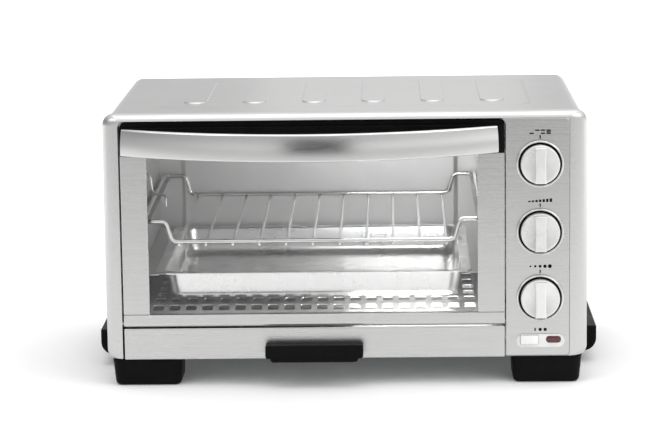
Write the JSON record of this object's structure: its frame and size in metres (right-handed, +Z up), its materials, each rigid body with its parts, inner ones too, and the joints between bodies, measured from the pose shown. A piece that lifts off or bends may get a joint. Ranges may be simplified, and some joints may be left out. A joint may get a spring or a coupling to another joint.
{
  "type": "toaster oven",
  "caption": "Countertop toaster oven with a drop-down glass door, bowed steel handle, wire rack, baking pan, crumb tray drawer, control knobs and a start button.",
  "frame": {"origin": "middle of the oven's width and depth, on the surface its feet stand on", "axes": "+Z up, +X to the right and -Y to the front, as seen by a person who faces the door"},
  "size_m": [0.406, 0.3, 0.218],
  "materials": {
    "brushed_steel": "horizontally brushed",
    "handle_steel": "fine brushed, nearly polished",
    "cavity_steel": "bright aluminised sheet",
    "pan_steel": "plain bright sheet",
    "chrome_wire": "polished",
    "black_plastic": "fine moulded texture",
    "silver_plastic": "satin silver",
    "ring_steel": "satin",
    "white_plastic": "smooth",
    "red_lens": "translucent, unlit",
    "door_glass": "clear",
    "ceramic": "unglazed ceramic",
    "element_sheath": "heat-darkened sheath",
    "zinc_plate": "zinc plated sheet",
    "spring_steel": "plain"
  },
  "bodies": {
    "oven": {"outer_wrapper": "brushed_steel", "front_bezel": "brushed_steel", "rear_cover": "brushed_steel", "cavity_left_wall": "cavity_steel", "cavity_right_wall": "cavity_steel", "cavity_top": "cavity_steel", "cavity_back": "cavity_steel", "perforated_floor": "cavity_steel", "rack_guide_left": "cavity_steel", "rack_guide_right": "cavity_steel", "pan_guide_left": "cavity_steel", "pan_guide_right": "cavity_steel", "rack_hook_left": "chrome_wire", "foot_front_left": "black_plastic", "foot_front_right": "black_plastic", "foot_rear_left": "black_plastic", "foot_rear_right": "black_plastic", "side_handle_left": "black_plastic", "side_handle_right": "black_plastic", "rear_spacer_left": "black_plastic", "rear_spacer_right": "black_plastic", "cord_gland": "black_plastic", "function_switch": "black_plastic", "start_switch": "black_plastic", "button_trim": "silver_plastic", "function_knob_ring": "ring_steel", "temperature_knob_ring": "ring_steel", "shade_knob_ring": "ring_steel", "terminal_block": "white_plastic", "indicator_lens": "red_lens", "upper_front_insulator": "ceramic", "upper_rear_insulator": "ceramic", "lower_front_insulator": "ceramic", "lower_rear_insulator": "ceramic", "thermostat": "ceramic", "upper_element": "element_sheath", "lower_element": "element_sheath", "base_plate": "zinc_plate", "hinge_pin_left": "zinc_plate", "hinge_pin_right": "zinc_plate", "control_bracket": "zinc_plate", "shade_timer": "zinc_plate", "door_spring": "spring_steel"},
    "door": {"door_left_stile": "brushed_steel", "door_right_stile": "brushed_steel", "door_bottom_rail": "brushed_steel", "door_top_rail": "black_plastic", "door_glass": "door_glass", "door_handle": "handle_steel", "door_hinge_arm": "zinc_plate"},
    "rack": {"wire_rack": "chrome_wire"},
    "pan": {"baking_pan": "pan_steel"},
    "crumb_drawer": {"crumb_tray": "brushed_steel", "crumb_tray_handle": "black_plastic"},
    "function_dial": {"function_knob": "silver_plastic"},
    "temperature_dial": {"temperature_knob": "silver_plastic"},
    "shade_dial": {"shade_knob": "silver_plastic"},
    "button": {"start_button": "white_plastic"}
  },
  "joints": [
    {"name": "door_hinge", "type": "hinge", "parent": "oven", "child": "door", "pos_m": [0, -0.1008, 0.0505], "axis": [1, 0, 0], "range_deg": [0, 88], "stiffness_Nm_per_rad": 0.3, "springref_deg": -34.38},
    {"name": "rack_slide", "type": "slide", "parent": "oven", "child": "rack", "axis": [0, -1, 0], "range_m": [0, 0.046]},
    {"name": "pan_slide", "type": "slide", "parent": "oven", "child": "pan", "axis": [0, -1, 0], "range_m": [-0.005, 0.003]},
    {"name": "crumb_tray_slide", "type": "slide", "parent": "oven", "child": "crumb_drawer", "axis": [0, -1, 0], "range_m": [0, 0.115]},
    {"name": "function_turn", "type": "hinge", "parent": "oven", "child": "function_dial", "pos_m": [0.1529, -0.104, 0.1757], "axis": [0, 1, 0], "range_deg": [0, 225]},
    {"name": "temperature_turn", "type": "hinge", "parent": "oven", "child": "temperature_dial", "pos_m": [0.1529, -0.104, 0.1218], "axis": [0, 1, 0], "range_deg": [0, 290]},
    {"name": "shade_turn", "type": "hinge", "parent": "oven", "child": "shade_dial", "pos_m": [0.1529, -0.104, 0.069], "axis": [0, 1, 0], "range_deg": [0, 270]},
    {"name": "start_press", "type": "slide", "parent": "oven", "child": "button", "axis": [0, 1, 0], "range_m": [0, 0.002], "stiffness_N_per_m": 400}
  ],
  "couplings": [
    {"joint": "rack_slide", "follows": "door_hinge", "m_per_rad": 0.0293}
  ]
}
